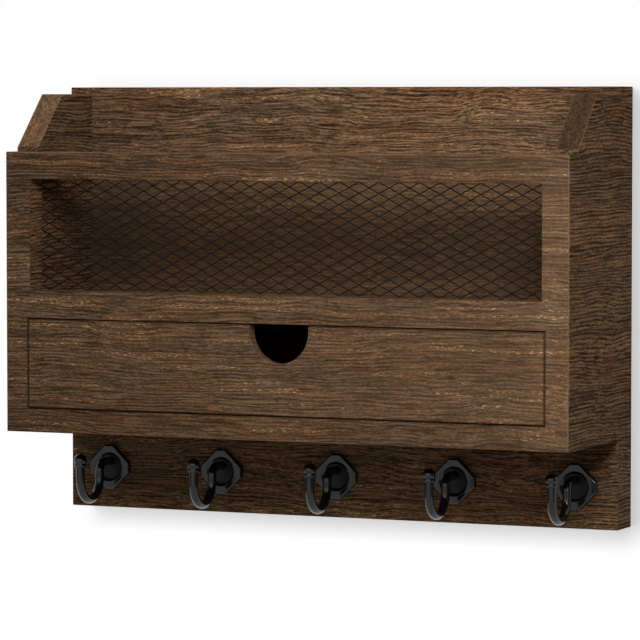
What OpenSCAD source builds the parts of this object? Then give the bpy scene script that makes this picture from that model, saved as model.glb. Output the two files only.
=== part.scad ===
// Wall mail organizer: a back board with an open-topped mail compartment behind a windowed
// face board, a drawer under it and a strip of hooks below.
// X runs along the board, the wall is the plane y = 0, the front looks along -Y, Z is up.
// The origin is the centre of the back board's rear face.

/* [Back board] */
// Overall width of the organizer
board_w = 380; // [340:5:440]
// Thickness of the back board
board_t = 24; // [20:1:30]
// Height of the hook strip below the box
hook_strip_h = 56; // [52:1:80]
// Rise of the back board above the face board
board_rise = 41; // [30:1:70]

/* [Box] */
// Thickness of the side panels and of the bottom board
panel_t = 15; // [12:0.5:16]
// Clear depth between the back board and the face board
box_depth = 75; // [60:1:110]
// Height of the straight lip of a side panel above the face board
side_lip = 3; // [1:0.5:8]
// Drop from the back board's top edge to the side panels' top edge
side_top_drop = 4.5; // [0:0.5:12]
// Thickness of the mail compartment's floor
floor_t = 9; // [6:0.5:12]

/* [Face board] */
// Thickness of the face board
face_t = 16; // [12:0.5:20]
// Height of the rail above the window
top_rail_h = 17.5; // [12:0.5:30]
// Width of the stile at each end of the window
window_stile_w = 17.5; // [16.5:0.5:30]
// Height of the window
window_h = 70.5; // [50:0.5:100]
// Height of the rail between the window and the drawer
mid_rail_h = 17.5; // [15:0.5:30]
// Height of the drawer opening
drawer_opening_h = 57.5; // [50:0.5:80]
// Eased arris round the front of the face board and of the drawer front
front_ease = 0.5; // [0.2:0.1:1]

/* [Wire mesh] */
// Width of one strand
strand_w = 0.8; // [0.6:0.1:1.2]
// Thickness of the mesh sheet
mesh_t = 0.8; // [0.5:0.1:1.5]
// Nominal width of one diamond
diamond_w = 13.4; // [10:0.1:20]
// Nominal height of one diamond
diamond_h = 7.0; // [6:0.1:12]
// Width of the sheet's rim strip
mesh_rim_w = 1.0; // [1:0.1:2]
// Lap of the mesh behind the rails above and below the window
mesh_lap = 3.9; // [3:0.1:6]
// Gap between the mesh and each side panel
mesh_side_gap = 0.4; // [0.2:0.1:1]

/* [Drawer] */
// Running gap round the drawer front, and beside the drawer
drawer_gap = 0.6; // [0.4:0.1:1.5]
// Gap between the drawer and the bottom board, and behind the closed drawer
drawer_clearance = 0.3; // [0.3:0.1:0.6]
// Thickness of the drawer front
drawer_front_t = 8; // [6:0.5:12]
// Thickness of the drawer's sides and back
drawer_wall_t = 8; // [6:0.5:12]
// Height of the drawer's sides and back
drawer_wall_h = 42; // [25:1:44]
// Thickness of the drawer's bottom
drawer_bottom_t = 3; // [2:0.5:5]
// Width of the half-moon finger notch
notch_w = 40; // [30:1:60]
// Depth of the finger notch below the drawer front's top edge
notch_h = 24; // [20:1:30]

/* [Hooks] */
// Number of hooks
hook_count = 5; // [3:1:5]
// Distance between neighbouring hooks
hook_pitch = 81; // [60:1:90]
// Height of the plates' centres above the board's bottom edge
hook_plate_z = 26.5; // [24:0.5:36]
// Side of the square plate before its corners are clipped
plate_side = 25; // [23:0.5:30]
// Distance from the plate's centre to each clipped corner
plate_reach = 14.5; // [13.5:0.5:15]
// Thickness of the plate
plate_t = 3.2; // [2.8:0.2:5]
// Bevel round the plate's front
plate_bevel = 0.8; // [0.4:0.1:1.2]
// Radius of the dish at the plate's front
dish_r = 9.6; // [8.8:0.2:9.8]
// Radius of the dish's floor
dish_floor_r = 7.8; // [7.2:0.2:8.4]
// Depth of the dish
dish_depth = 2.2; // [1:0.2:2.4]
// Radius of the hook's round rod
rod_r = 2.8; // [2:0.1:3.2]
// Height of the shank above the plate's centre
shank_rise = 4; // [2:0.5:4]
// Distance from the back board to the hook's inner leg
leg_reach = 16; // [14:0.5:24]
// Radius of the bend from the shank into the inner leg
bend_r = 6; // [4:0.5:8]
// Radius of the hook's U, to the middle of the rod
u_r = 13.7; // [9:0.1:16]
// Drop from the shank to the centre of the U
u_drop = 9; // [8:0.5:16]
// Rise of the ball's centre above the centre of the U
ball_rise = 12.8; // [9:0.2:18]
// Radius of the ball
ball_r = 4.2; // [3.6:0.1:5]
// Radius of the collar that the ball sits on
collar_r = 3.8; // [3.4:0.1:4.4]
// Height of the collar
collar_h = 2.3; // [1.5:0.1:3]
// Length of the hook's thread in the back board
thread_len = 17; // [10:1:19]
// Radius of the hook's thread
thread_r = 2; // [1.5:0.1:2.4]

/* [Fasteners] */
// Radius of the board screws' shank
screw_r = 2; // [1.5:0.1:2.5]
// Radius of the board screws' head
screw_head_r = 4; // [3:0.1:5]
// Length of the board screws
screw_len = 45; // [36:1:55]
// Distance from a panel's ends to its first and last screw or dowel
screw_inset = 24; // [18:1:40]
// Radius of the face dowels
dowel_r = 3; // [2.5:0.5:4]
// Length of a face dowel
dowel_len = 24; // [16:1:30]
// Depth of a dowel in the face board
dowel_in_face = 10; // [6:1:11]
// Gap round a screw, nail, dowel or shank in its hole
fit_gap = 0.05; // [0.05:0.01:0.1]
// Radius of the drawer nails
nail_r = 0.7; // [0.5:0.1:1]
// Length of the drawer nails
nail_len = 18; // [14:1:24]
// Distance between two mesh staples, counted in diamonds
staple_step = 5; // [3:1:8]
// Width of a staple's wire
staple_w = 1.0; // [0.8:0.1:1.2]
// Thickness of a staple's wire
staple_t = 0.6; // [0.5:0.1:0.8]
// Gap between a staple's legs and the mesh's rim strip
staple_gap = 0.8; // [0.5:0.1:1]
// Length of a staple's legs in the face board
staple_leg = 6; // [4:0.5:8]

/* [Hangers] */
// Distance from each end of the board to its keyhole hanger's centre
hanger_inset = 50; // [40:5:90]
// Distance from the board's top edge to the hangers' centres
hanger_drop = 38; // [30:1:60]
// Width of a hanger plate
hanger_w = 18; // [16:1:24]
// Height of a hanger plate
hanger_h = 48; // [44:1:60]
// Thickness of a hanger plate
hanger_t = 2; // [1.5:0.1:3]
// Radius of the keyhole's round entry
key_entry_r = 4.5; // [4:0.1:5.5]
// Radius of the keyhole's slot
key_slot_r = 2.2; // [1.8:0.1:2.4]
// Distance from the entry's centre up to the end of the slot's centre line
key_slot_rise = 9; // [7:0.5:11]
// Depth of the pocket for the wall screw's head
key_pocket_d = 10; // [8:1:12]

/* [Hidden] */
$fn = 48;
eps = 0.01;

// Heights, from the board's bottom edge up
face_h = top_rail_h + window_h + mid_rail_h + drawer_opening_h + panel_t;
board_h = hook_strip_h + face_h + board_rise;
board_bottom = -board_h / 2;
board_top = board_bottom + board_h;
box_bottom = board_bottom + hook_strip_h;
opening_bottom = box_bottom + panel_t;
opening_top = opening_bottom + drawer_opening_h;
window_bottom = opening_top + mid_rail_h;
window_top = window_bottom + window_h;
face_top = window_top + top_rail_h;
side_top = board_top - side_top_drop;

// Depths, from the wall forward
board_front = -board_t;
face_back = board_front - box_depth;
face_front = face_back - face_t;
slant_depth = side_top - face_top - side_lip;

// Widths
inner_w = board_w - 2 * panel_t;
window_w = board_w - 2 * window_stile_w;
side_x = (board_w - panel_t) / 2;

// The drawer
drawer_w = inner_w - 2 * drawer_gap;
drawer_floor = opening_bottom + drawer_clearance;
drawer_back_y = board_front - drawer_clearance;
drawer_front_back = face_front + drawer_front_t;
drawer_len = drawer_back_y - drawer_front_back;
drawer_wall_bottom = drawer_floor + drawer_bottom_t;
drawer_front_bottom = opening_bottom + drawer_gap;
drawer_front_top = opening_top - drawer_gap;
drawer_side_x = (drawer_w - drawer_wall_t) / 2;
notch_r = notch_w / 2;
notch_z = drawer_front_top - notch_h + notch_r;

// The mesh, with whole diamonds fitted between its rims
mesh_w = inner_w - 2 * mesh_side_gap;
mesh_h = window_h + 2 * mesh_lap;
lattice_w = mesh_w - mesh_rim_w;
lattice_h = mesh_h - mesh_rim_w;
mesh_cols = round(lattice_w / diamond_w);
mesh_rows = round(lattice_h / diamond_h);
cell_w = lattice_w / mesh_cols;
cell_h = lattice_h / mesh_rows;
mesh_z = (window_top + window_bottom) / 2;

// A diamond hole is a cell drawn in by half a strand; the rim leaves half of the outer ones
cell_inradius = cell_w * cell_h / 2 / sqrt(cell_w * cell_w + cell_h * cell_h);
hole_scale = 1 - strand_w / 2 / cell_inradius;
hole_x = hole_scale * cell_w / 2;
hole_z = hole_scale * cell_h / 2;
rim_half = mesh_rim_w / 2;
low_base = hole_x * (1 - rim_half / hole_z);
side_base = hole_z * (1 - rim_half / hole_x);
diamond = [[-hole_x, 0], [0, -hole_z], [hole_x, 0], [0, hole_z]];
low_half = [[-low_base, rim_half], [low_base, rim_half], [0, hole_z]];
side_half = [[rim_half, -side_base], [hole_x, 0], [rim_half, side_base]];

// The hooks
hook_z = board_bottom + hook_plate_z;
shank_z = hook_z + shank_rise;
collar_drop = 0.1;
collar_foot = ball_rise - ball_r - collar_drop;
thread_tip_r = 0.4;
thread_tip = 4;

// Fasteners
screw_head_h = screw_head_r - screw_r;
screw_tip = 5;
hanger_screw_r = 1.7;
hanger_screw_head_r = 3.4;
hanger_screw_len = 14;
hanger_screw_tip = 4;
hanger_screw_inset = 6;
pocket_margin = 2;
hole_spare = 1;
cut_over = 1;
screw_tip_r = 0.3;
hanger_screw_z = hanger_h / 2 - hanger_screw_inset;
key_entry_z = -5;
staple_leg_z = rim_half + staple_gap + staple_t / 2;
staple_crown = 2 * staple_leg_z + staple_t;
nail_drop = 10;
nail_back_drop = 20;
hanger_x = board_w / 2 - hanger_inset;
hanger_z = board_top - hanger_drop;

function hook_x(i) = (i - (hook_count + 1) / 2) * hook_pitch;

// A box given by its lowest corner and its size
module block(low, size) {
    translate(low) cube(size);
}

// A round hole or peg along Y, from y = from forward (towards -Y) by len
module peg(r, from, len, front_r = -1) {
    translate([0, from, 0])
        rotate([90, 0, 0])
            cylinder(r1 = r, r2 = front_r < 0 ? r : front_r, h = len);
}

// A panel seen from the front, with its four front arrises eased
module eased_panel(w, h, t) {
    e = front_ease;
    intersection() {
        translate([-w / 2, 0, 0])
            rotate([90, 0, 90])
                linear_extrude(w)
                    polygon([[0, e], [e, 0], [t, 0], [t, h], [e, h], [0, h - e]]);
        linear_extrude(h)
            polygon([[-w / 2 + e, 0], [w / 2 - e, 0], [w / 2, e], [w / 2, t], [-w / 2, t], [-w / 2, e]]);
    }
}

// Places of the screws that hold the box to the back board, each on its axis at the wall
module at_board_screws() {
    for (side = [-1, 1])
        at_side_screws(side) children();
    for (z = [opening_top + floor_t / 2, box_bottom + panel_t / 2])
        at_cross_screws(z) children();
}

// Three screws up one side panel
module at_side_screws(side) {
    for (z = [box_bottom + screw_inset, (box_bottom + side_top) / 2, side_top - screw_inset])
        translate([side * side_x, 0, z]) children();
}

// Three screws along a cross board
module at_cross_screws(z) {
    for (k = [-1, 0, 1])
        translate([k * (inner_w / 2 - 2 * screw_inset), 0, z]) children();
}

// Places of the dowels between the face board and one side panel
module at_side_dowels(side) {
    for (z = [box_bottom + screw_inset, (box_bottom + face_top) / 2, face_top - screw_inset])
        translate([side * side_x, 0, z]) children();
}

// Places of the two keyhole hangers
module at_hanger(side) {
    translate([side * hanger_x, 0, hanger_z]) children();
}

// Places of the two screws of a hanger
module at_hanger_screws() {
    for (k = [-1, 1])
        translate([0, 0, k * hanger_screw_z]) children();
}

// A countersunk wood screw along Y, its head flush with y = head_y
module countersunk_screw(r, head_r, len, tip, head_y = 0) {
    peg(head_r, head_y, head_r - r, r);
    peg(r, head_y - (head_r - r) + eps, len - tip - (head_r - r) + eps);
    peg(r, head_y - len + tip, tip, screw_tip_r);
}

// The hole that a countersunk screw passes through
module countersunk_hole(r, head_r, depth, head_y = 0) {
    peg(head_r + fit_gap, head_y + eps, head_r - r + eps, r + fit_gap);
    peg(r + fit_gap, head_y, depth);
}

module back_board() {
    color([0.23, 0.16, 0.11])
        difference() {
            block([-board_w / 2, board_front, board_bottom], [board_w, board_t, board_h]);
            at_board_screws() countersunk_hole(screw_r, screw_head_r, board_t + eps);
            for (i = [1:hook_count])
                on_board(hook_x(i), shank_z)
                    translate([0, 0, -thread_len - hole_spare])
                        cylinder(r = thread_r + fit_gap, h = thread_len + hole_spare + eps);
            for (side = [-1, 1])
                at_hanger(side) hanger_recess();
        }
}

// The cut in the board's rear for one hanger: its seat, the head's pocket and two pilot holes
module hanger_recess() {
    pocket_w = 2 * (key_entry_r + pocket_margin);
    pocket_h = key_slot_rise + 2 * (key_entry_r + pocket_margin);
    block([-hanger_w / 2, -hanger_t, -hanger_h / 2], [hanger_w, hanger_t + eps, hanger_h]);
    block([-pocket_w / 2, -key_pocket_d, key_entry_z - pocket_w / 2], [pocket_w, key_pocket_d, pocket_h]);
    at_hanger_screws() peg(hanger_screw_r + fit_gap, 0, hanger_screw_len + hole_spare);
}

// Side panel: full height behind, cut on a slant down to a short lip above the face board
module side_panel(side) {
    difference() {
        translate([side * side_x - panel_t / 2, 0, 0])
            rotate([90, 0, 90])
                linear_extrude(panel_t)
                    polygon([
                        [board_front, box_bottom],
                        [board_front, side_top],
                        [face_back + slant_depth, side_top],
                        [face_back, face_top + side_lip],
                        [face_back, box_bottom]
                    ]);
        at_side_screws(side) peg(screw_r + fit_gap, board_front + eps, screw_len - board_t + hole_spare);
        at_side_dowels(side)
            peg(dowel_r + fit_gap, face_back + dowel_len - dowel_in_face + fit_gap, dowel_len);
    }
}

module left_side() {
    color([0.27, 0.19, 0.13]) side_panel(-1);
}

module right_side() {
    color([0.27, 0.19, 0.13]) side_panel(1);
}

// Face board: one board with the window and the drawer opening cut out
module face_board() {
    color([0.40, 0.29, 0.20])
        difference() {
            translate([0, face_front, box_bottom]) eased_panel(board_w, face_h, face_t);
            face_cut(window_w, window_bottom, window_h);
            face_cut(inner_w, opening_bottom, drawer_opening_h);
            for (side = [-1, 1])
                at_side_dowels(side) peg(dowel_r + fit_gap, face_back + eps, dowel_in_face + fit_gap);
            at_staples() staple_legs();
        }
}

// A cut through the face board, w wide and h high from z up
module face_cut(w, z, h) {
    block([-w / 2, face_front - cut_over, z], [w, face_t + 2 * cut_over, h]);
}

module compartment_floor() {
    color([0.30, 0.21, 0.14])
        difference() {
            block([-inner_w / 2, face_back, opening_top], [inner_w, box_depth, floor_t]);
            at_cross_screws(opening_top + floor_t / 2)
                peg(screw_r + fit_gap, board_front + eps, screw_len - board_t + hole_spare);
        }
}

module bottom_board() {
    color([0.27, 0.19, 0.13])
        difference() {
            block([-inner_w / 2, face_back, box_bottom], [inner_w, box_depth, panel_t]);
            at_cross_screws(box_bottom + panel_t / 2)
                peg(screw_r + fit_gap, board_front + eps, screw_len - board_t + hole_spare);
        }
}

// A sheet of diamond holes inside a rim strip. Holes are placed by i and j, which count half
// cells from the lattice's lower left corner; strands cross where i + j is even.
module wire_mesh() {
    color([0.05, 0.05, 0.05])
        translate([0, face_back + mesh_t, mesh_z])
            rotate([90, 0, 0])
                linear_extrude(mesh_t)
                    difference() {
                        square([mesh_w, mesh_h], center = true);
                        for (i = [1:2 * mesh_cols - 1], j = [1:2 * mesh_rows - 1])
                            if ((i + j) % 2 == 1) polygon(hole_at(diamond, i, j));
                        for (i = [1:2:2 * mesh_cols - 1], edge = [0, 1])
                            mirror([0, edge]) polygon(hole_at(low_half, i, 0));
                        for (j = [1:2:2 * mesh_rows - 1], edge = [0, 1])
                            mirror([edge, 0]) polygon(hole_at(side_half, 0, j));
                    }
}

function hole_at(shape, i, j) =
    [for (p = shape) p + [(i * cell_w - lattice_w) / 2, (j * cell_h - lattice_h) / 2]];

// Places of the staples, each astride the rim at the middle of a half diamond
module at_staples() {
    for (i = [1:staple_step:mesh_cols - 1], edge = [-1, 1])
        translate([-lattice_w / 2 + (i + 0.5) * cell_w, face_back, mesh_z + edge * lattice_h / 2])
            children();
}

module staple_legs() {
    for (k = [-1, 1])
        block(
            [-staple_w / 2, -staple_leg, k * staple_leg_z - staple_t / 2],
            [staple_w, staple_leg + mesh_t + eps, staple_t]
        );
}

module mesh_staples() {
    color([0.55, 0.55, 0.56])
        at_staples() {
            staple_legs();
            block([-staple_w / 2, mesh_t, -staple_crown / 2], [staple_w, staple_t, staple_crown]);
        }
}

module face_dowels() {
    color([0.72, 0.58, 0.40])
        for (side = [-1, 1])
            at_side_dowels(side) peg(dowel_r, face_back + dowel_len - dowel_in_face, dowel_len);
}

module board_screws() {
    color([0.75, 0.72, 0.62])
        at_board_screws() countersunk_screw(screw_r, screw_head_r, screw_len, screw_tip);
}

// Keyhole hanger: a flat plate with a round entry, a slot above it and two screw holes
module hanger_plate() {
    difference() {
        block([-hanger_w / 2, -hanger_t, -hanger_h / 2], [hanger_w, hanger_t, hanger_h]);
        translate([0, 0, key_entry_z]) {
            peg(key_entry_r, eps, hanger_t + 2 * eps);
            block([-key_slot_r, -hanger_t - eps, 0], [2 * key_slot_r, hanger_t + 2 * eps, key_slot_rise]);
            translate([0, 0, key_slot_rise]) peg(key_slot_r, eps, hanger_t + 2 * eps);
        }
        at_hanger_screws() countersunk_hole(hanger_screw_r, hanger_screw_head_r, hanger_t + eps);
    }
}

module left_hanger() {
    color([0.68, 0.68, 0.70]) at_hanger(-1) hanger_plate();
}

module right_hanger() {
    color([0.68, 0.68, 0.70]) at_hanger(1) hanger_plate();
}

module hanger_screws() {
    color([0.75, 0.72, 0.62])
        for (side = [-1, 1])
            at_hanger(side) at_hanger_screws() hanger_screw();
}

module hanger_screw() {
    countersunk_screw(hanger_screw_r, hanger_screw_head_r, hanger_screw_len, hanger_screw_tip);
}

// A square turned on its corner, half side from the centre to each edge, its corners clipped
function plate_outline(side, reach) =
    let (flat = side / sqrt(2) - reach)
    [
        [reach, -flat], [reach, flat], [flat, reach], [-flat, reach],
        [-reach, flat], [-reach, -flat], [-flat, -reach], [flat, -reach]
    ];

// Stands a shape made along +Z out from the back board's front face
module on_board(x, z) {
    translate([x, board_front, z]) rotate([90, 0, 0]) children();
}

module hook_plate(i) {
    color([0.07, 0.07, 0.08])
        on_board(hook_x(i), hook_z)
            difference() {
                hull() {
                    linear_extrude(plate_t - plate_bevel) polygon(plate_outline(plate_side, plate_reach));
                    linear_extrude(plate_t)
                        polygon(plate_outline(plate_side - 2 * plate_bevel, plate_reach - plate_bevel));
                }
                translate([0, 0, plate_t - dish_depth])
                    cylinder(r1 = dish_floor_r, r2 = dish_r, h = dish_depth + eps);
                translate([0, shank_rise, -eps]) cylinder(r = rod_r + fit_gap, h = plate_t + 2 * eps);
            }
}

// A quarter or half turn of the rod in the YZ plane, from angle a0, 0 pointing forward and 90 up
module rod_bend(r, a0, turn) {
    rotate([90, 0, -90])
        rotate([0, 0, a0])
            rotate_extrude(angle = turn)
                translate([r, 0]) circle(r = rod_r);
}

// The J hook: threaded shank, bend, inner leg, U, outer leg, collar and ball
module hook(i) {
    outer_leg = leg_reach + 2 * u_r;
    color([0.06, 0.06, 0.07])
        translate([hook_x(i), board_front, shank_z]) {
            peg(rod_r, 0, leg_reach - bend_r);
            peg(thread_r, thread_len - thread_tip, thread_len - thread_tip + eps);
            peg(thread_tip_r, thread_len, thread_tip, thread_r);
            translate([0, -leg_reach + bend_r, -bend_r]) rod_bend(bend_r, 0, 90);
            translate([0, -leg_reach, -u_drop]) cylinder(r = rod_r, h = u_drop - bend_r);
            translate([0, -leg_reach - u_r, -u_drop]) rod_bend(u_r, 180, 180);
            translate([0, -outer_leg, -u_drop]) {
                cylinder(r = rod_r, h = ball_rise);
                translate([0, 0, collar_foot]) cylinder(r = collar_r, h = collar_h);
                translate([0, 0, ball_rise]) sphere(r = ball_r);
            }
        }
}

// Drawer front with its half-moon notch, a full round below and straight sides above
module drawer_front() {
    cut_depth = drawer_front_t + 2 * cut_over;
    color([0.42, 0.30, 0.20])
        difference() {
            translate([0, face_front, drawer_front_bottom])
                eased_panel(drawer_w, drawer_front_top - drawer_front_bottom, drawer_front_t);
            translate([0, 0, notch_z]) peg(notch_r, drawer_front_back + cut_over, cut_depth);
            block([-notch_r, face_front - cut_over, notch_z], [notch_w, cut_depth, notch_h]);
        }
}

module drawer_side(side) {
    difference() {
        block(
            [side * drawer_side_x - drawer_wall_t / 2, drawer_front_back, drawer_wall_bottom],
            [drawer_wall_t, drawer_len, drawer_wall_h]
        );
        at_drawer_nails() drawer_nail(fit_gap);
    }
}

module drawer_left_side() {
    color([0.33, 0.24, 0.16]) drawer_side(-1);
}

module drawer_right_side() {
    color([0.33, 0.24, 0.16]) drawer_side(1);
}

module drawer_back() {
    color([0.33, 0.24, 0.16])
        difference() {
            block(
                [-drawer_w / 2 + drawer_wall_t, drawer_back_y - drawer_wall_t, drawer_wall_bottom],
                [drawer_w - 2 * drawer_wall_t, drawer_wall_t, drawer_wall_h]
            );
            at_drawer_nails() drawer_nail(fit_gap);
        }
}

module drawer_bottom() {
    color([0.45, 0.34, 0.24])
        difference() {
            block(
                [-drawer_w / 2, drawer_front_back, drawer_floor],
                [drawer_w, drawer_len, drawer_bottom_t]
            );
            at_drawer_nails() drawer_nail(fit_gap);
        }
}

// Two nails through each side into the back, and three up through the bottom into each side
module at_drawer_nails() {
    back_nail_y = drawer_back_y - drawer_wall_t / 2;
    first_y = drawer_front_back + nail_drop;
    last_y = drawer_back_y - nail_back_drop;
    for (side = [-1, 1]) {
        for (z = [drawer_wall_bottom + nail_drop, drawer_wall_bottom + drawer_wall_h - nail_drop])
            translate([side * drawer_w / 2, back_nail_y, z]) rotate([0, -90 * side, 0]) children();
        for (y = [first_y, (first_y + last_y) / 2, last_y])
            translate([side * drawer_side_x, y, drawer_floor]) children();
    }
}

// A plain nail along +Z from its flush head, or with a gap its hole
module drawer_nail(gap = 0) {
    translate([0, 0, gap > 0 ? -eps : 0]) cylinder(r = nail_r + gap, h = nail_len + gap);
}

module drawer_nails() {
    color([0.70, 0.70, 0.70]) at_drawer_nails() drawer_nail();
}

back_board();
left_side();
right_side();
face_board();
compartment_floor();
bottom_board();
wire_mesh();
mesh_staples();
face_dowels();
board_screws();
left_hanger();
right_hanger();
hanger_screws();
for (i = [1:hook_count]) hook_plate(i);
for (i = [1:hook_count]) hook(i);
drawer_front();
drawer_left_side();
drawer_right_side();
drawer_back();
drawer_bottom();
drawer_nails();
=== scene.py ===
"""Wall mail organizer: stained boards, black diamond mesh, key hooks, drawer, screws and stage.

Lengths are in metres. X runs along the board, the wall is the plane y = 0, the front looks
along -Y and Z is up. Each piece takes its place and size from the packed frame.
"""

from math import asin, cos, hypot, pi, radians, sin

import bmesh
import bpy
from bpy.props import FloatProperty, FloatVectorProperty, IntProperty, PointerProperty
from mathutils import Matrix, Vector


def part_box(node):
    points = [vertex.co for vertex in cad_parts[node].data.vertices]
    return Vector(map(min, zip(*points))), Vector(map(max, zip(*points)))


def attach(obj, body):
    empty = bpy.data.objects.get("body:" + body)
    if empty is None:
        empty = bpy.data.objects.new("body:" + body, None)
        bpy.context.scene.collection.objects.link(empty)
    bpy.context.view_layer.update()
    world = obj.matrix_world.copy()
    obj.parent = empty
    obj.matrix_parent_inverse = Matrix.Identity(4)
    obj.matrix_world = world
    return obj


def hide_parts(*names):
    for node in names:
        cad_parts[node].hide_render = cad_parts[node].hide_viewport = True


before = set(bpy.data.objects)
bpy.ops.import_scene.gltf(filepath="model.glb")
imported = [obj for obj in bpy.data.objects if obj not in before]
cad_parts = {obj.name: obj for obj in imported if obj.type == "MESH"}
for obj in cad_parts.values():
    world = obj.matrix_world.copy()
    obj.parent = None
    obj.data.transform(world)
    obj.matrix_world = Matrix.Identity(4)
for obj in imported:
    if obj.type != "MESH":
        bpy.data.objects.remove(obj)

bl_info = {
    "name": "Wall Mail Organizer",
    "version": (1, 0, 0),
    "blender": (4, 5, 0),
    "location": "3D View > Sidebar > Organizer",
    "description": "Stained boards, diamond mesh, key hooks and drawer of a mail organizer",
    "category": "Object",
}

ORGANIZER = "organizer"
DRAWER = "drawer"
HOOK_COUNT = len([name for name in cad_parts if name.startswith("hook_plate_")])
MIDDLE_HOOK = (HOOK_COUNT + 1) // 2

board_low, board_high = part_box("back_board")
face_low, face_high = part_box("face_board")
mesh_low, mesh_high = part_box("wire_mesh")
plate_low, plate_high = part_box(f"hook_plate_{MIDDLE_HOOK}")
BOARD_FRONT = board_low.y
DRAWER_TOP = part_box("drawer_front")[1].z
HOOK_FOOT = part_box(f"hook_{MIDDLE_HOOK}")[0].z
HOOK_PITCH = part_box("hook_2")[0].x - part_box("hook_1")[0].x


def shown_colour(*parts):
    """The linear colour of a tone given as it looks on a screen, each part from 0 to 255."""
    return [
        level / 12.92 if level <= 0.04045 else ((level + 0.055) / 1.055) ** 2.4
        for level in (part / 255 for part in parts)
    ]


def setting(kind, **usual):
    """A maker of settings of one kind, each from its name, its description and its default."""
    def make(name, description, default):
        return kind(name=name, description=description, default=default, **usual)

    return make


length = setting(FloatProperty, min=0.0, unit="LENGTH", precision=5)
share = setting(FloatProperty, min=0.0, max=1.0, subtype="FACTOR")
number_of = setting(IntProperty, min=1)
swatch = setting(FloatVectorProperty, size=3, min=0.0, max=1.0, subtype="COLOR")
place_of = setting(FloatVectorProperty, size=3, subtype="TRANSLATION")
lens_of = setting(FloatProperty, unit="CAMERA")
turn_of = setting(FloatProperty, subtype="ANGLE")
power_of = setting(FloatProperty, unit="POWER")
level_of = setting(FloatProperty, min=0.0)


def tint(name, description, *shown):
    """A colour given as it looks on a screen."""
    return swatch(name, description, shown_colour(*shown))


class OrganizerWood(bpy.types.PropertyGroup):
    """Stain and grain of the boards"""

    dark: tint("Dark grain", "Stain in the soft grain", 40, 28, 20)
    mid: tint("Ground", "Stain between the streaks", 80, 62, 46)
    light: tint("Light streaks", "Stain on the hard grain", 126, 101, 77)
    fleck: tint("Flecks", "Short golden flecks along the grain", 205, 168, 122)
    rust: tint("Rust flecks", "Short reddish flecks along the grain", 142, 96, 62)
    # The worn colour is also a painted highlight on the arrises and round the finger notch.
    worn: tint("Worn arris", "Stain rubbed thin on the arrises", 132, 102, 74)
    drawer_box: tint("Drawer box", "Plain wood of the drawer's box", 88, 66, 46)
    dowel: tint("Dowels", "Bare beech", 196, 160, 116)
    streak_width: length("Streak width", "Width of one fine streak of grain", 0.00072)
    streak_length: length("Streak length", "Length of one fine streak of grain", 0.024)
    ring_gap: length("Ring gap", "Distance between the dark lines of the year rings", 0.0023)
    roughness: share("Roughness", "Roughness of the stained wood", 0.6)
    shine: share("Shine", "Specular level of the matt stain", 0.004)
    arris: length("Arris", "Width of a board's rounded arris", 0.0005)
    gap_edge: length("Gap edge", "Width of the eased edges round the drawer and window", 0.00025)


class OrganizerMetal(bpy.types.PropertyGroup):
    """Finish of the metal pieces"""

    hook_black: tint("Hook black", "Gloss black of the hooks and plates", 12, 13, 15)
    recess_black: tint("Recess black", "Duller black in the plates' dishes", 17, 16, 16)
    mesh_black: tint("Mesh black", "Black of the wire mesh", 9, 8, 8)
    zinc: tint("Zinc", "Plating of the screws and hangers", 188, 189, 190)
    hook_roughness: share("Hook roughness", "Roughness of the black paint", 0.15)
    zinc_roughness: share("Zinc roughness", "Roughness of the zinc plating", 0.34)


class OrganizerMesh(bpy.types.PropertyGroup):
    """Sizes of the diamond mesh"""

    strand: length("Strand", "Width of one strand", mesh_high.y - mesh_low.y)
    rim: length("Rim", "Width of the rim strip", 0.001)
    columns: number_of("Columns", "Diamonds along the mesh", 26)
    rows: number_of("Rows", "Diamonds up the mesh", 11)


class OrganizerHook(bpy.types.PropertyGroup):
    """Sizes of the J hook"""

    rod_radius: length("Rod radius", "Radius of the hook's rod", 0.0028)
    thread_radius: length("Thread radius", "Radius of the hook's thread", 0.002)
    thread_pitch: length("Thread pitch", "Distance between two threads", 0.0012)
    thread_length: length("Thread length", "Depth of the hook's thread in the board", 0.017)
    leg_reach: length("Leg reach", "From the board to the inner leg", 0.016)
    bend_radius: length("Bend radius", "Bend from the shank into the inner leg", 0.006)
    u_radius: length("U radius", "Radius of the U at the rod's middle", 0.0137)
    u_drop: length("U drop", "From the shank down to the centre of the U", 0.009)
    ball_rise: length("Ball rise", "From the centre of the U up to the ball", 0.0128)
    ball_radius: length("Ball radius", "Radius of the ball", 0.0042)
    collar_radius: length("Collar radius", "Radius of the collar under the ball", 0.0038)
    collar_height: length("Collar height", "Height of the collar", 0.0023)
    dish_radius: length("Dish radius", "Radius of the plate's dish at its rim", 0.0096)
    dish_edge: length("Dish edge", "Width of the rounded edge round the dish", 0.0007)


class OrganizerStage(bpy.types.PropertyGroup):
    """Camera, light, wall and floor"""

    focal_length: lens_of("Focal length", "Lens that gives the view's perspective", 214.05)
    camera_place: place_of("Camera", "Place of the camera", (0.96353, -2.24921, 0.12714))
    camera_yaw: turn_of("Yaw", "Turn of the camera towards the left", radians(23.672))
    camera_pitch: turn_of("Pitch", "Tilt of the camera downwards", radians(3.260))
    key_power: power_of("Key", "Power of the lamp at the front right", 9.6)
    fill_power: power_of("Fill", "Power of the lamp at the upper left", 4.0)
    sky_strength: level_of("Sky", "Strength of the even light from all sides", 0.3)


SETTINGS = {
    "organizer_wood": OrganizerWood,
    "organizer_metal": OrganizerMetal,
    "organizer_mesh": OrganizerMesh,
    "organizer_hook": OrganizerHook,
    "organizer_stage": OrganizerStage,
}


# Nodes

WHITE = (1.0, 1.0, 1.0, 1.0)
MIDDLE = (0.35, 0.65)           # the levels between which most of a noise lies
SHIFT_SHARES = (1.0, 1.7, 2.3)  # how far a shift moves a noise along each axis


def give(tree, socket, value):
    """Sets an input to a value, or links it where the value is another node's output."""
    if isinstance(value, bpy.types.NodeSocket):
        tree.links.new(value, socket)
    else:
        socket.default_value = value


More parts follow.
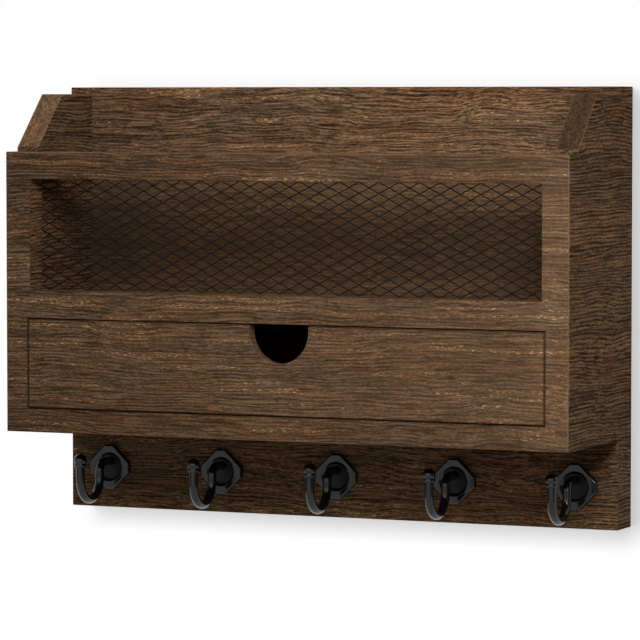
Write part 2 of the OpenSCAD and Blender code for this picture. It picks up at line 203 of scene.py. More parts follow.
def add(tree, kind, inputs=None, **settings):
    """Adds a node, with its settings and its inputs by name or number."""
    made = tree.nodes.new(kind)
    for name, value in settings.items():
        setattr(made, name, value)
    for name, value in (inputs or {}).items():
        give(tree, made.inputs[name], value)
    return made


def result(tree, kind, inputs=None, **settings):
    """Adds a node and gives its first output."""
    return add(tree, kind, inputs, **settings).outputs[0]


def arithmetic(operation):
    """A function that adds this step of arithmetic to a tree."""
    def step(tree, a, b=0.0, clamp=False):
        return result(tree, "ShaderNodeMath", {0: a, 1: b}, operation=operation, use_clamp=clamp)

    return step


def maker(kind, *sockets):
    """A function that adds this kind of node and fills these of its inputs in order."""
    def make(tree, *values, **inputs):
        return result(tree, kind, {**dict(zip(sockets, values)), **inputs})

    return make


times, plus, minus = (arithmetic(name) for name in ("MULTIPLY", "ADD", "SUBTRACT"))
larger, modulo, sine = (arithmetic(name) for name in ("MAXIMUM", "MODULO", "SINE"))
above, below = arithmetic("GREATER_THAN"), arithmetic("LESS_THAN")

vector_of = maker("ShaderNodeCombineXYZ", "X", "Y", "Z")
relief = maker("ShaderNodeBump", "Height", "Strength", "Distance")
mapped = maker("ShaderNodeMapping", "Vector")
row_of_points = maker("GeometryNodeMeshLine", "Count", "Start Location", "Offset")
copies_on = maker("GeometryNodeInstanceOnPoints", "Points", "Instance")
as_curve = maker("GeometryNodeMeshToCurve", "Mesh")
swept = maker("GeometryNodeCurveToMesh", "Curve", "Profile Curve")
circle = maker("GeometryNodeCurvePrimitiveCircle", "Resolution", "Radius")
rectangle = maker("GeometryNodeCurvePrimitiveQuadrilateral", "Width", "Height")
ball_of = maker("GeometryNodeMeshIcoSphere", "Radius", "Subdivisions")
placed_at = maker("GeometryNodeSetPosition", "Geometry")


def stretch(tree, value, low, high, to_low=0.0, to_high=1.0):
    """Takes low..high to to_low..to_high and holds it there."""
    ends = {"From Min": low, "From Max": high, "To Min": to_low, "To Max": to_high}
    return result(tree, "ShaderNodeMapRange", {"Value": value, **ends})


def parts_of(tree, vector):
    """The X, Y and Z of a vector."""
    return add(tree, "ShaderNodeSeparateXYZ", {"Vector": vector}).outputs


def object_place(tree):
    """The place on the piece, in metres."""
    return add(tree, "ShaderNodeTexCoord").outputs["Object"]


def opaque(colour):
    """A colour with its fourth part, as a colour socket takes it."""
    return (*colour, 1.0)


def mix_colour(tree, factor, a, b, blend="MIX"):
    """Blends two colours."""
    sockets = {0: factor, 6: a, 7: b}
    return add(tree, "ShaderNodeMix", sockets, data_type="RGBA", blend_type=blend).outputs[2]


def colour_ramp(tree, value, stops):
    """A colour by a value from 0 to 1, from pairs of a value and the colour there."""
    ramp = add(tree, "ShaderNodeValToRGB", {"Fac": value})
    elements = ramp.color_ramp.elements
    elements.remove(elements[1])
    elements[0].position = stops[0][0]
    for number, (position, colour) in enumerate(stops):
        element = elements.new(position) if number else elements[0]
        element.color = opaque(colour)
    return ramp.outputs[0]


def clouds(tree, vector, cells, detail=2.0, roughness=0.5, shift=0.0):
    """Noise with its own number of cells per metre along each axis."""
    shifts = [shift * part for part in SHIFT_SHARES]
    placed = mapped(tree, vector, Location=shifts, Scale=cells)
    noise = {"Vector": placed, "Scale": 1.0, "Detail": detail, "Roughness": roughness}
    return add(tree, "ShaderNodeTexNoise", noise).outputs["Fac"]


def mottled(tree, noise, colour, low, high):
    """A colour that a noise takes from low times itself to high times itself."""
    darker, lighter = (opaque([part * level for part in colour]) for level in (low, high))
    return mix_colour(tree, stretch(tree, noise, *MIDDLE), darker, lighter)


def dress(tree, **inputs):
    """Sets or links the shader's inputs, each named with _ for a space."""
    shader = tree.nodes["Principled BSDF"]
    for name, value in inputs.items():
        give(tree, shader.inputs[name.replace("_", " ")], value)


def opaque_material(name, rough, shine=0.5, metallic=0.0):
    """An opaque material with these levels on its shader, and its node tree."""
    material = bpy.data.materials.new(name)
    material.use_nodes = True
    tree = material.node_tree
    dress(tree, Roughness=rough, Specular_IOR_Level=shine, Metallic=metallic)
    return material, tree


# Wood

GRAIN_TURNS = {"X": (0, 0, 0), "Y": (0, 0, -pi / 2), "slant": (-pi / 4, 0, -pi / 2)}
WARMTH = (1.12, 0.97, 0.86)  # what the redder patches multiply the stain by
PORE_SHARE, GLOW_SHARE, DASH_SHARE = 0.6, 0.22, 0.95


def grain_direction(tree, along):
    """Object coordinates turned so that the grain runs along their X axis."""
    return mapped(tree, object_place(tree), Rotation=GRAIN_TURNS[along])


def sway(tree, vector, cells, amount, shift):
    """Moves the grain sideways by a slow noise, so that its lines wander."""
    wander = clouds(tree, vector, cells, 1.0, 0.5, shift)
    moved = times(tree, minus(tree, wander, 0.5), amount)
    offset = vector_of(tree, Y=moved, Z=moved)
    return result(tree, "ShaderNodeVectorMath", {0: vector, 1: offset}, operation="ADD")


def tone_over(tree, place, points):
    """A tone that changes along an axis, from pairs of a place in metres and the tone there."""
    first, last = points[0][0], points[-1][0]
    stops = [((spot - first) / (last - first), (tone, tone, tone)) for spot, tone in points]
    return colour_ramp(tree, stretch(tree, place, first, last), stops)


def ring_lines(tree, vector, gap, drift, slope=0.3, waviness=9.0, peak=0.8):
    """The lines of the year rings on a slope through the board, moved by a slow noise."""
    parts = parts_of(tree, vector)
    depth = plus(tree, parts["Z"], times(tree, parts["Y"], slope))
    phase = plus(tree, times(tree, depth, 2 * pi / gap), times(tree, drift, waviness))
    return stretch(tree, sine(tree, phase), -peak, peak)


def stained_wood(name, along, tones, flecks=1.0, wander=1.0, pull=1.0, contrast=1.0,
                 ringed=0.18, even=None, shift=0.0):
    """Dark stained open-grained wood.

    tones gives the points of tone_over for each axis, flecks is the share of pale pores, wander
    bends the grain, pull draws it out lengthwise, contrast sets its light lines off, ringed is
    the share of the year rings, even gives the points of tone_over by which the grain fades,
    and shift picks another part of the tree.
    """
    looks = bpy.context.scene.organizer_wood
    material, tree = opaque_material(name, looks.roughness, looks.shine)
    vector = grain_direction(tree, along)
    vector = sway(tree, vector, (7 / pull, 18, 18), 0.012 * wander, shift + 3.1)
    vector = sway(tree, vector, (24 / pull, 32, 32), 0.006 * wander, shift + 8.4)

    def grain(lengthwise, across, number, levels=None, detail=1.0, roughness=0.5):
        """A layer of noise by its cells per metre, with these levels taken to 0 and 1."""
        cells = (lengthwise / pull, across, across)
        noise = clouds(tree, vector, cells, detail, roughness, shift + number)
        return stretch(tree, noise, *levels) if levels else noise

    streak, line = 1 / looks.streak_width, 1 / looks.streak_length
    fine = grain(line, streak, 0.0, (0.38, 0.62))
    short = grain(460, streak, 3.7, (0.36, 0.64))
    streaks = grain(line, streak * 0.5, 4.4, (0.34, 0.66), 2.0, 0.55)
    bands = grain(6, 140, 5.3, (0.34, 0.66), 2.0, 0.6)
    patches = grain(9, 26, 1.9, (0.38, 0.66), 2.0)
    pore = grain(130, streak * 1.3, 7.7, (0.60, 0.70))
    dashes = grain(420, streak * 1.3, 2.6, (0.58, 0.66))
    rows = grain(9, 420, 9.2, (0.56, 0.64))
    rings = ring_lines(tree, vector, looks.ring_gap, grain(26, 95, 6.1, None, 2.0, 0.6))

    tone = times(tree, fine, 0.40)
    for layer, weight in ((short, 0.28), (streaks, 0.14), (bands, 0.18)):
        tone = plus(tree, tone, times(tree, layer, weight))
    tone = plus(tree, times(tree, tone, 1 - ringed), times(tree, rings, ringed))
    tone = stretch(tree, tone, 0.5 - 0.5 / contrast, 0.5 + 0.5 / contrast)
    colour = colour_ramp(tree, tone, ((0.05, looks.dark), (0.45, looks.mid), (0.9, looks.light)))

    warm = mix_colour(tree, 1.0, colour, opaque(WARMTH), "MULTIPLY")
    colour = mix_colour(tree, patches, colour, warm)
    colour = mix_colour(tree, times(tree, pore, PORE_SHARE), colour, opaque(looks.dark))
    glow = times(tree, rows, GLOW_SHARE * flecks)
    colour = mix_colour(tree, glow, colour, opaque(looks.rust))
    golden = stretch(tree, bands, 0.2, 0.8)
    fleck = mix_colour(tree, golden, opaque(looks.rust), opaque(looks.fleck))
    dash = times(tree, times(tree, dashes, rows), DASH_SHARE * flecks)
    colour = mix_colour(tree, dash, colour, fleck)
    place = parts_of(tree, object_place(tree))
    if even:
        fade = 1.0
        for axis, points in even.items():
            fade = times(tree, fade, tone_over(tree, place[axis], points))
        colour = mix_colour(tree, fade, colour, opaque(looks.mid))
    for axis, points in tones.items():
        tone = tone_over(tree, place[axis], points)
        colour = mix_colour(tree, 1.0, colour, tone, "MULTIPLY")
    # Arrises marked above 0 take the worn colour: the stain rubbed thin, and a painted highlight
    # where the arris would catch the light.
    arris = add(tree, "ShaderNodeAttribute", attribute_name="arris").outputs["Fac"]
    wear_and_painted_highlight = times(tree, arris, stretch(tree, bands, 0.0, 1.0, 0.1, 0.45), True)
    colour = mix_colour(tree, wear_and_painted_highlight, colour, opaque(looks.worn))
    # Arrises marked below 0, round the drawer and window gaps, take the dark stain: painted shade
    # that widens the dark line of the gap.
    painted_gap_shade = times(tree, arris, -1.0, True)
    colour = mix_colour(tree, painted_gap_shade, colour, opaque(looks.dark))

    gloss = stretch(tree, streaks, 0.0, 1.0, looks.roughness + 0.12, looks.roughness - 0.06)
    height = minus(tree, times(tree, streaks, 0.6), pore)
    dress(tree, Base_Color=colour, Roughness=gloss, Normal=relief(tree, height, 0.45, 0.00025))
    return material


def plain_wood(name, colour, along):
    """Bare wood of the pieces that don't show: a soft straight grain."""
    material, tree = opaque_material(name, 0.6, 0.08)
    lines = clouds(tree, grain_direction(tree, along), (30, 600, 600), 3.0, 0.6)
    grain = mottled(tree, lines, colour, 0.6, 1.0)
    dress(tree, Base_Color=grain, Normal=relief(tree, lines, 0.3, 0.0002))
    return material


# Metal

def black_paint(name, colour, rough, grain, shine):
    """Painted metal: a fine orange peel, with the paint a little greyer where it is thick."""
    material, tree = opaque_material(name, rough, shine)
    peel = clouds(tree, object_place(tree), (grain, grain, grain))
    broad = clouds(tree, object_place(tree), (220, 220, 220), 2.0, 0.5, 4.0)
    dress(
        tree, Base_Color=mottled(tree, broad, colour, 1.0, 1.5),
        Roughness=stretch(tree, broad, *MIDDLE, rough - 0.04, rough + 0.06),
        Normal=relief(tree, peel, 0.12, 0.00005),
    )
    return material


def zinc_plate(name, colour, rough):
    """Bright plated steel with faint marks of the tools that made it."""
    material, tree = opaque_material(name, rough, metallic=1.0)
    scuff = clouds(tree, object_place(tree), (300, 300, 4500), 3.0, 0.6)
    blotch = clouds(tree, object_place(tree), (120, 120, 120), 2.0, 0.5, 6.0)
    dress(
        tree, Base_Color=mottled(tree, blotch, colour, 0.72, 1.0),
        Roughness=stretch(tree, scuff, 0.3, 0.7, rough - 0.08, rough + 0.16),
        Normal=relief(tree, scuff, 0.15, 0.00005),
    )
    return material


# Pieces

SAME = 1e-5          # places less than this apart count as one
MERGED = 1e-6        # points less than this apart are joined
LONG_EDGE = 0.007    # a board's shorter edges, such as its screw holes', stay as they are
JOINT_REACH = 0.016  # how far in from the organizer's ends its boards meet
RAIL = 0.004         # the openings keep at least this far from the face board's edges
NOTCH_FACET = 0.004  # the notch's edges are shorter than this
NOTCH_HALF = 0.021   # they lie this near to the drawer's middle
NOTCH_TOP = 0.003    # and this far below the drawer's top
WEAR_AND_PAINTED_HIGHLIGHT, PAINTED_GAP_SHADE = 1.0, -0.7  # how an arris is marked: above 0 the stain is worn thin and painted lighter as a highlight, below 0 it is painted darker as shade in the gaps


def linked(name, data):
    """A new object in the scene, with this mesh, lamp or camera."""
    made = bpy.data.objects.new(name, data)
    bpy.context.scene.collection.objects.link(made)
    return made


def baked(source, name):
    """The evaluated mesh of source as a plain new object; source is removed."""
    bpy.context.view_layer.update()
    seen = source.evaluated_get(bpy.context.evaluated_depsgraph_get())
    mesh = bpy.data.meshes.new_from_object(seen)
    bpy.data.objects.remove(source)
    mesh.name = name
    return linked(name, mesh)


def put(piece, body, slot, *nodes):
    """Rides the piece on its body, in the place of its CAD nodes."""
    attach(piece, body)
    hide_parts(*nodes)


def merged_copy(node):
    """A CAD node's mesh with its loose triangles joined and its flat faces made whole."""
    shape = bmesh.new()
    shape.from_mesh(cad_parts[node].data)
    bmesh.ops.remove_doubles(shape, verts=shape.verts, dist=MERGED)
    bmesh.ops.dissolve_limit(shape, angle_limit=radians(0.3), verts=shape.verts, edges=shape.edges)
    return shape


def at_joint(edge):
    """True for an edge where two boards meet flush, and no arris shows."""
    ends = [vertex.co for vertex in edge.verts]
    joints = (face_high.y, BOARD_FRONT)
    in_plane = any(all(abs(end.y - joint) < SAME for end in ends) for joint in joints)
    return in_plane and all(abs(abs(end.x) - board_high.x) < JOINT_REACH for end in ends)


def in_front_opening(edge):
    """True for an edge of the window, of the drawer's opening or of the drawer's front."""
    return all(
        vertex.co.y < face_high.y + SAME and abs(vertex.co.x) < face_high.x - RAIL
        and face_low.z + RAIL < vertex.co.z < face_high.z - RAIL for vertex in edge.verts
    )


def on_notch(edge):
    """True for the short edges round the finger notch, on the drawer's front."""
    return edge.calc_length() < NOTCH_FACET and all(
        vertex.co.y < face_low.y + SAME and abs(vertex.co.x) < NOTCH_HALF
        and vertex.co.z < DRAWER_TOP - NOTCH_TOP for vertex in edge.verts
    )


def round_arrises(shape, width, shortest, worn=WEAR_AND_PAINTED_HIGHLIGHT, chosen=None, segments=2):
    """Rounds the outer corners of at least that length, and marks the new faces with their level of
    wear and painted light: above 0 worn and painted lighter as a highlight, below 0 painted darker
    as shade.
    """
    arris = shape.faces.layers.float.get("arris") or shape.faces.layers.float.new("arris")
    corners = [
        edge for edge in shape.edges
        if len(edge.link_faces) == 2 and edge.calc_length() >= shortest
        and edge.calc_face_angle_signed() > radians(30) and not at_joint(edge)
        and (chosen is None or chosen(edge))
    ]
    rounded = bmesh.ops.bevel(
        shape, geom=corners, offset=width, offset_type="OFFSET", segments=segments, profile=0.5,
        affect="EDGES", clamp_overlap=True,
    )
    for face in rounded["faces"]:
        face[arris] = worn


def meshed(name, shape):
    """The bmesh as an object."""
    mesh = bpy.data.meshes.new(name)
    shape.to_mesh(mesh)
    shape.free()
    return linked(name, mesh)


def finished_board(node, material, body, slot, other=None, chosen=None):
    """A board from its CAD node, with rounded arrises, its chosen faces in the other finish."""
    looks = bpy.context.scene.organizer_wood
    shape = merged_copy(node)
    # Outer arrises get wear and a painted highlight, the edges round the drawer and window painted
    # shade, and the notch's rim a stronger painted highlight.
    round_arrises(shape, looks.arris, LONG_EDGE, WEAR_AND_PAINTED_HIGHLIGHT, lambda edge: not in_front_opening(edge))
    round_arrises(shape, looks.gap_edge, LONG_EDGE, PAINTED_GAP_SHADE, in_front_opening)
    round_arrises(shape, looks.arris, 0.001, 2 * WEAR_AND_PAINTED_HIGHLIGHT, on_notch)
    for face in shape.faces:
        face.material_index = int(other is not None and chosen(face))
    board = meshed(f"{node}_finished", shape)
    board.data.materials.append(material)
    if other:
        board.data.materials.append(other)
    put(board, body, slot, node)


def is_end(face):
    """True for a face that looks sideways."""
    return abs(face.normal.x) > 0.75


def is_slant(face):
    """True for the slanted top edge of a side panel."""
    return face.normal.y < -0.4 and face.normal.z > 0.4


class ORGANIZER_OT_boards(bpy.types.Operator):
    """Finish the back board, the side panels, the face board and the two cross boards"""

    bl_idname = "organizer.boards"
    bl_label = "Boards"

    def execute(self, context):
        # The front gets painted light towards its right edge, where it is paler, and is darker on
        # its outer rails.
        face = stained_wood("stain_face", "X", {
            "X": ((-0.16, 0.80), (0.0, 1.02), (0.155, 1.06), (0.178, 1.34)),
            "Z": ((-0.070, 0.88), (-0.064, 1.0), (0.072, 1.0), (0.080, 0.87)),
        }, contrast=1.12, even={"X": ((-0.19, 0.0), (0.19, 0.4))})
        side = stained_wood(
            "stain_side", "Y", {"X": ((-0.19, 0.82), (0.19, 0.96))},
            flecks=0.3, wander=1.2, pull=1.8, contrast=1.5, ringed=0.24, shift=0.4,
        )
        # The slant is painted lighter on the left panel and darker on the right one: painted light
        # and shade.
        slant = stained_wood(
            "stain_slant", "slant", {"X": ((-0.19, 1.35), (0.19, 0.52))},
            flecks=0.3, wander=0.5, pull=0.12, contrast=0.8, shift=0.6,
        )
        # The grain of the back fades behind the mesh, where it would muddle the diamonds.
        # Its tone is raised in the middle, painted light on the hook strip in the box's shadow, and
        # lowered at the right end, painted shade.
        back = stained_wood(
            "stain_back", "X", {"X": ((-0.15, 0.9), (0.05, 1.2), (0.13, 1.2), (0.175, 0.78))},
            flecks=0.8, wander=1.6, pull=1.2, contrast=1.35, ringed=0.16, shift=0.9,
            even={"Y": ((-0.024, 0.6), (-0.012, 0.0)),
                  "Z": ((-0.01, 0.0), (0.01, 1.0), (0.075, 1.0), (0.1, 0.0))},
        )
        finished_board("face_board", face, ORGANIZER, "walnut_face", side, is_end)
        finished_board("back_board", back, ORGANIZER, "walnut_back", side, is_end)
        for node in ("left_side", "right_side"):
            finished_board(node, side, ORGANIZER, "walnut_side", slant, is_slant)
        for node in ("compartment_floor", "bottom_board"):
            finished_board(node, back, ORGANIZER, "walnut_side")
        return {"FINISHED"}


class ORGANIZER_OT_drawer(bpy.types.Operator):
    """Finish the drawer front and the drawer's box"""

    bl_idname = "organizer.drawer"
    bl_label = "Drawer"

    def execute(self, context):
        looks = context.scene.organizer_wood
        finished_board("drawer_front", bpy.data.materials["stain_face"], DRAWER, "walnut_face")
        along_x = plain_wood("drawer_wood_across", looks.drawer_box, "X")
        along_y = plain_wood("drawer_wood_deep", looks.drawer_box, "Y")
        for node in ("drawer_left_side", "drawer_right_side"):
            finished_board(node, along_y, DRAWER, "drawer_wood")
        for node in ("drawer_back", "drawer_bottom"):
            finished_board(node, along_x, DRAWER, "drawer_wood")
        return {"FINISHED"}


# Geometry nodes

def joined(tree, *parts):
    """Several geometries as one."""
    whole = add(tree, "GeometryNodeJoinGeometry")
    for part in parts:
        tree.links.new(part, whole.inputs[0])
    return whole.outputs[0]


def row_along_x(tree, geometry, given):
    """Copies the geometry in a row along X, its middle copy in place."""
    steps = minus(tree, given["Count"], 1.0)
    start = times(tree, times(tree, steps, given["Pitch"]), -0.5)
    step = vector_of(tree, given["Pitch"])
    places = row_of_points(tree, given["Count"], vector_of(tree, start), step)
    return copies_on(tree, places, geometry)


def grown(name, start, draw, values):
    """Runs a new node tree with these named input values on start, and bakes the result.

    draw(tree, given) adds the nodes, and returns the geometry with the inputs of any Set Material
    that follows the first, which takes the input "Material".
    """
    tree = bpy.data.node_groups.new(name, "GeometryNodeTree")
    kinds = {socket: type(value).__name__.capitalize() for socket, value in values.items()}
    for socket, kind in {"Geometry": "Geometry", **kinds}.items():
        tree.interface.new_socket(socket, in_out="INPUT", socket_type=f"NodeSocket{kind}")
    tree.interface.new_socket("Geometry", in_out="OUTPUT", socket_type="NodeSocketGeometry")
    given = tree.nodes.new("NodeGroupInput").outputs
    whole, *coats = draw(tree, given)
    whole = result(tree, "GeometryNodeRealizeInstances", {"Geometry": whole})
    for coat in ({"Material": given["Material"]}, *coats):
        whole = result(tree, "GeometryNodeSetMaterial", {"Geometry": whole, **coat})
    tree.links.new(whole, tree.nodes.new("NodeGroupOutput").inputs[0])
    modifier = start.modifiers.new(name, "NODES")
    modifier.node_group = tree
    for item in tree.interface.items_tree:
        if item.name in values:
            modifier[item.identifier] = values[item.name]
    return baked(start, name)


def point_cloud(name, places, edges=()):
    """An object of bare points, with these edges between them."""
    mesh = bpy.data.meshes.new(name)
    mesh.from_pydata([tuple(place) for place in places], edges, [])
    return linked(name, mesh)


def copies_at_points(tree, given):
    """A copy of the template on each point, turned at random round Y by up to that angle."""
    template = add(tree, "GeometryNodeObjectInfo", {"Object": given["Template"]})
    chance = add(tree, "FunctionNodeRandomValue", {"Seed": given["Seed"]}, data_type="FLOAT")
    part = next(out for out in chance.outputs if out.type == "VALUE" and out.enabled)
    turn = vector_of(tree, Y=times(tree, part, given["Turn"]))
    return [copies_on(tree, given["Geometry"], template.outputs["Geometry"], Rotation=turn)]


def copies_at(name, template, places, material, seed=None):
    """One mesh with a copy of the template at each place, turned at random where it has a seed."""
    made = grown(name, point_cloud(f"{name}_places", places), copies_at_points, {
        "Template": template, "Turn": 0.0 if seed is None else pi / 2, "Seed": seed or 0,
        "Material": material,
    })
    bpy.data.objects.remove(template)
    return made


class ORGANIZER_OT_mesh(bpy.types.Operator):
    """Grow the diamond mesh: rows of zigzag strands, a bond at each crossing and a rim strip"""

    bl_idname = "organizer.mesh"
    bl_label = "Diamond mesh"
    strand_sides = 6
    bond_scale = (1.9, 1.0, 1.15)

    def draw_tree(self, tree, given):
        half_w, half_h = given["Half Width"], given["Half Height"]
        left = times(tree, times(tree, given["Columns"], half_w), -1.0)
        foot = times(tree, times(tree, given["Rows"], half_h), -1.0)
        count = plus(tree, times(tree, given["Columns"], 2.0), 1.0)
        corner = vector_of(tree, X=left, Z=foot)
        line = row_of_points(tree, count, corner, vector_of(tree, half_w))
        odd = modulo(tree, result(tree, "GeometryNodeInputIndex"), 2.0)
        zigzags = []
        for lift in (odd, minus(tree, 2.0, odd)):
            rise = vector_of(tree, Z=times(tree, lift, half_h))
            zigzags.append(placed_at(tree, line, Offset=rise))
        path = as_curve(tree, joined(tree, *zigzags))
        strand_r = times(tree, given["Strand"], 0.5)
        section = circle(tree, self.strand_sides, strand_r)
        strands = swept(tree, path, section, **{"Fill Caps": True})
        bonds = copies_on(tree, zigzags[0], ball_of(tree, strand_r, 1), Scale=self.bond_scale)
        row = joined(tree, strands, bonds)
        step = vector_of(tree, Z=times(tree, half_h, 2.0))
        field = copies_on(tree, row_of_points(tree, given["Rows"], (0.0, 0.0, 0.0), step), row)
        outline = rectangle(tree, times(tree, left, -2.0), times(tree, foot, -2.0))
        rim = swept(tree, outline, rectangle(tree, given["Rim"], given["Strand"]))
        upright = {"Geometry": rim, "Rotation": (pi / 2, 0.0, 0.0)}
        return [joined(tree, field, result(tree, "GeometryNodeTransform", upright))]

    def execute(self, context):
        sizes = context.scene.organizer_mesh
        black = black_paint("mesh_paint", context.scene.organizer_metal.mesh_black, 0.5, 4200, 0.1)
        width = mesh_high.x - mesh_low.x - sizes.rim
        height = mesh_high.z - mesh_low.z - sizes.rim
        sheet = grown("diamond_mesh", point_cloud("mesh_start", [(0, 0, 0)]), self.draw_tree, {
            "Columns": sizes.columns, "Rows": sizes.rows,
            "Half Width": width / sizes.columns / 2, "Half Height": height / sizes.rows / 2,
            "Strand": sizes.strand, "Rim": sizes.rim, "Material": black,
        })
        middle = (mesh_low + mesh_high) / 2
        for vertex in sheet.data.vertices:
            vertex.co += middle
        put(sheet, ORGANIZER, "mesh_black", "wire_mesh")
        return {"FINISHED"}


# Hooks

THREAD_ROOT = 0.78  # radius between two threads, as a share of the thread's
BEND_STEPS = 12
U_STEPS = 32
BALL_STEPS = 16
HOOK_SIDES = 32


def hook_path(size):
    """The hook's centre line and its radius at each point, from the thread's tip to the ball."""
    tip = BOARD_FRONT + size.thread_length
    shank_z = HOOK_FOOT + size.rod_radius + size.u_radius + size.u_drop
    rings = int(size.thread_length / size.thread_pitch) * 2
    path = [(tip, shank_z, size.thread_radius * 0.2)]
    for k in range(1, rings):
        crest = size.thread_radius * (1.0 if k % 2 else THREAD_ROOT)
        taper = min(1.0, 0.3 + k / 5)
        path.append((tip - size.thread_length * k / rings, shank_z, crest * taper))
    path.append((BOARD_FRONT + 0.0001, shank_z, size.thread_radius))
    path.append((BOARD_FRONT, shank_z, size.rod_radius))
    leg_y = BOARD_FRONT - size.leg_reach
    for k in range(BEND_STEPS + 1):
        angle = pi / 2 * k / BEND_STEPS
        y = leg_y + size.bend_radius * (1 - sin(angle))
        z = shank_z - size.bend_radius * (1 - cos(angle))
        path.append((y, z, size.rod_radius))
    centre_y, centre_z = leg_y - size.u_radius, shank_z - size.u_drop
    for k in range(U_STEPS + 1):
        angle = pi * k / U_STEPS
        y = centre_y + size.u_radius * cos(angle)
        path.append((y, centre_z - size.u_radius * sin(angle), size.rod_radius))
    ball_z = centre_z + size.ball_rise
    for rise, radius in knob_profile(size):
        path.append((centre_y - size.u_radius, ball_z + rise, radius))
    return path


def knob_profile(size):
    """Heights from the ball's centre and radii: a collar with eased edges and the ball on it."""
    ball, collar, rod = size.ball_radius, size.collar_radius, size.rod_radius
    ease, hair, step = 0.00035, 0.0001, 0.00002
    foot = -ball - hair
    top = foot + size.collar_height
    profile = [(foot - hair * 2, rod), (foot - hair / 2, rod), (foot, rod + hair),
               (foot + step, collar - ease)]
    for angle in (30, 60, 90):
        rise, reach = ease * (1 - cos(radians(angle))), ease * (1 - sin(radians(angle)))
        profile.append((foot + step + rise, collar - reach))
    profile += [(top - ease * 0.4, collar), (top - ease * 0.1, collar - ease * 0.3)]
    start = asin(top / ball)
    for k in range(BALL_STEPS):
        angle = start + (pi / 2 - start) * k / BALL_STEPS
        profile.append((ball * sin(angle), ball * cos(angle)))
    profile.append((ball, ball * 0.02))
    return profile


class ORGANIZER_OT_hooks(bpy.types.Operator):
    """Sweep the hook's rod along its path, ball and thread included, once for each hook"""

    bl_idname = "organizer.hooks"
    bl_label = "Key hooks"

    def draw_tree(self, tree, given):
        path = as_curve(tree, given["Geometry"])
        radius = add(tree, "GeometryNodeInputNamedAttribute", {"Name": "rod_radius"})
        rod = swept(tree, path, circle(tree, given["Sides"], 1.0), **{
            "Scale": radius.outputs["Attribute"], "Fill Caps": True,
        })
        smooth = result(tree, "GeometryNodeSetShadeSmooth", {"Geometry": rod})
        return [row_along_x(tree, smooth, given)]

    def execute(self, context):
        metal = context.scene.organizer_metal
        black = black_paint("hook_paint", metal.hook_black, metal.hook_roughness, 1500, 0.34)
        path = hook_path(context.scene.organizer_hook)
        links = [(k, k + 1) for k in range(len(path) - 1)]
        start = point_cloud("hook_path", [(0.0, y, z) for y, z, _ in path], links)
        radii = start.data.attributes.new("rod_radius", "FLOAT", "POINT")
        radii.data.foreach_set("value", [radius for _, _, radius in path])
        hooks = grown("key_hooks", start, self.draw_tree, {
            "Sides": HOOK_SIDES, "Count": HOOK_COUNT, "Pitch": HOOK_PITCH, "Material": black,
        })
        put(hooks, ORGANIZER, "hook_black", *[f"hook_{k + 1}" for k in range(HOOK_COUNT)])
        return {"FINISHED"}


class ORGANIZER_OT_plates(bpy.types.Operator):
    """Round the arrises of one hook plate and repeat it along the board"""

    bl_idname = "organizer.plates"
    bl_label = "Hook plates"
    arris = 0.00022
    small_face = 1.2e-6  # square metres
    recess_depth = 0.0012

    def draw_tree(self, tree, given):
        depth = parts_of(tree, result(tree, "GeometryNodeInputPosition"))["Y"]
        facing = parts_of(tree, add(tree, "GeometryNodeInputNormal").outputs["Normal"])["Y"]
        sunk = above(tree, depth, given["Recess Depth"])
        recess = times(tree, sunk, below(tree, facing, -0.9))
        matt = {"Selection": recess, "Material": given["Recess Material"]}
        return [row_along_x(tree, given["Geometry"], given), matt]

    def execute(self, context):
        size = context.scene.organizer_hook
        metal = context.scene.organizer_metal
        centre_z = (plate_low.z + plate_high.z) / 2

        def on_rim(edge):
            """True for an edge of the circle where the dish meets the plate's front."""
            return all(
                abs(vertex.co.y - plate_low.y) < SAME
                and abs(hypot(vertex.co.x, vertex.co.z - centre_z) - size.dish_radius) < 0.0001
                for vertex in edge.verts
            )

        shape = merged_copy(f"hook_plate_{MIDDLE_HOOK}")
        round_arrises(shape, self.arris, 0.002)
        round_arrises(shape, size.dish_edge, 0.0005, WEAR_AND_PAINTED_HIGHLIGHT, on_rim, 4)
        for face in shape.faces:
            face.smooth = face.calc_area() < self.small_face and face.normal.y < -0.3
        plates = grown("hook_plates", meshed("hook_plate_template", shape), self.draw_tree, {
            "Count": HOOK_COUNT, "Pitch": HOOK_PITCH,
            "Recess Depth": plate_low.y + self.recess_depth,
            "Material": bpy.data.materials["hook_paint"],
            "Recess Material": black_paint("recess_paint", metal.recess_black, 0.45, 1500, 0.14),
        })
        put(plates, ORGANIZER, "hook_black", *[f"hook_plate_{k + 1}" for k in range(HOOK_COUNT)])
        return {"FINISHED"}


# Fasteners

SCREW_PITCH = 0.0018
SCREW_SIDES = 16
RECESS_SIZE = (1.1, 0.9, 0.24)  # length, depth and width of a recess's arm, in head radii


def turned(name, profile, sides):
    """A lathe-turned solid round the Y axis: profile is a list of (radius, y), ends at radius 0."""
    shape = bmesh.new()
    angles = [2 * pi * k / sides for k in range(sides)]
    rings = []
    for radius, depth in profile:
        around = angles if radius else [0.0]
        rings.append([shape.verts.new((radius * cos(a), depth, radius * sin(a))) for a in around])
    for first, second in zip(rings, rings[1:]):
        for k in range(sides):
            ring = [first[k % len(first)], first[(k + 1) % len(first)],
                    second[(k + 1) % len(second)], second[k % len(second)]]
            shape.faces.new(list(dict.fromkeys(ring)))
    bmesh.ops.recalc_face_normals(shape, faces=shape.faces)
    return meshed(name, shape)


def cut_by(piece, cutter):
    """The piece with the cutter taken away from it; both objects are used up."""
    cut = piece.modifiers.new("cut", "BOOLEAN")
    cut.operation, cut.solver, cut.object, cut.use_self = "DIFFERENCE", "EXACT", cutter, True
    made = baked(piece, piece.name)
    bpy.data.objects.remove(cutter)
    return made


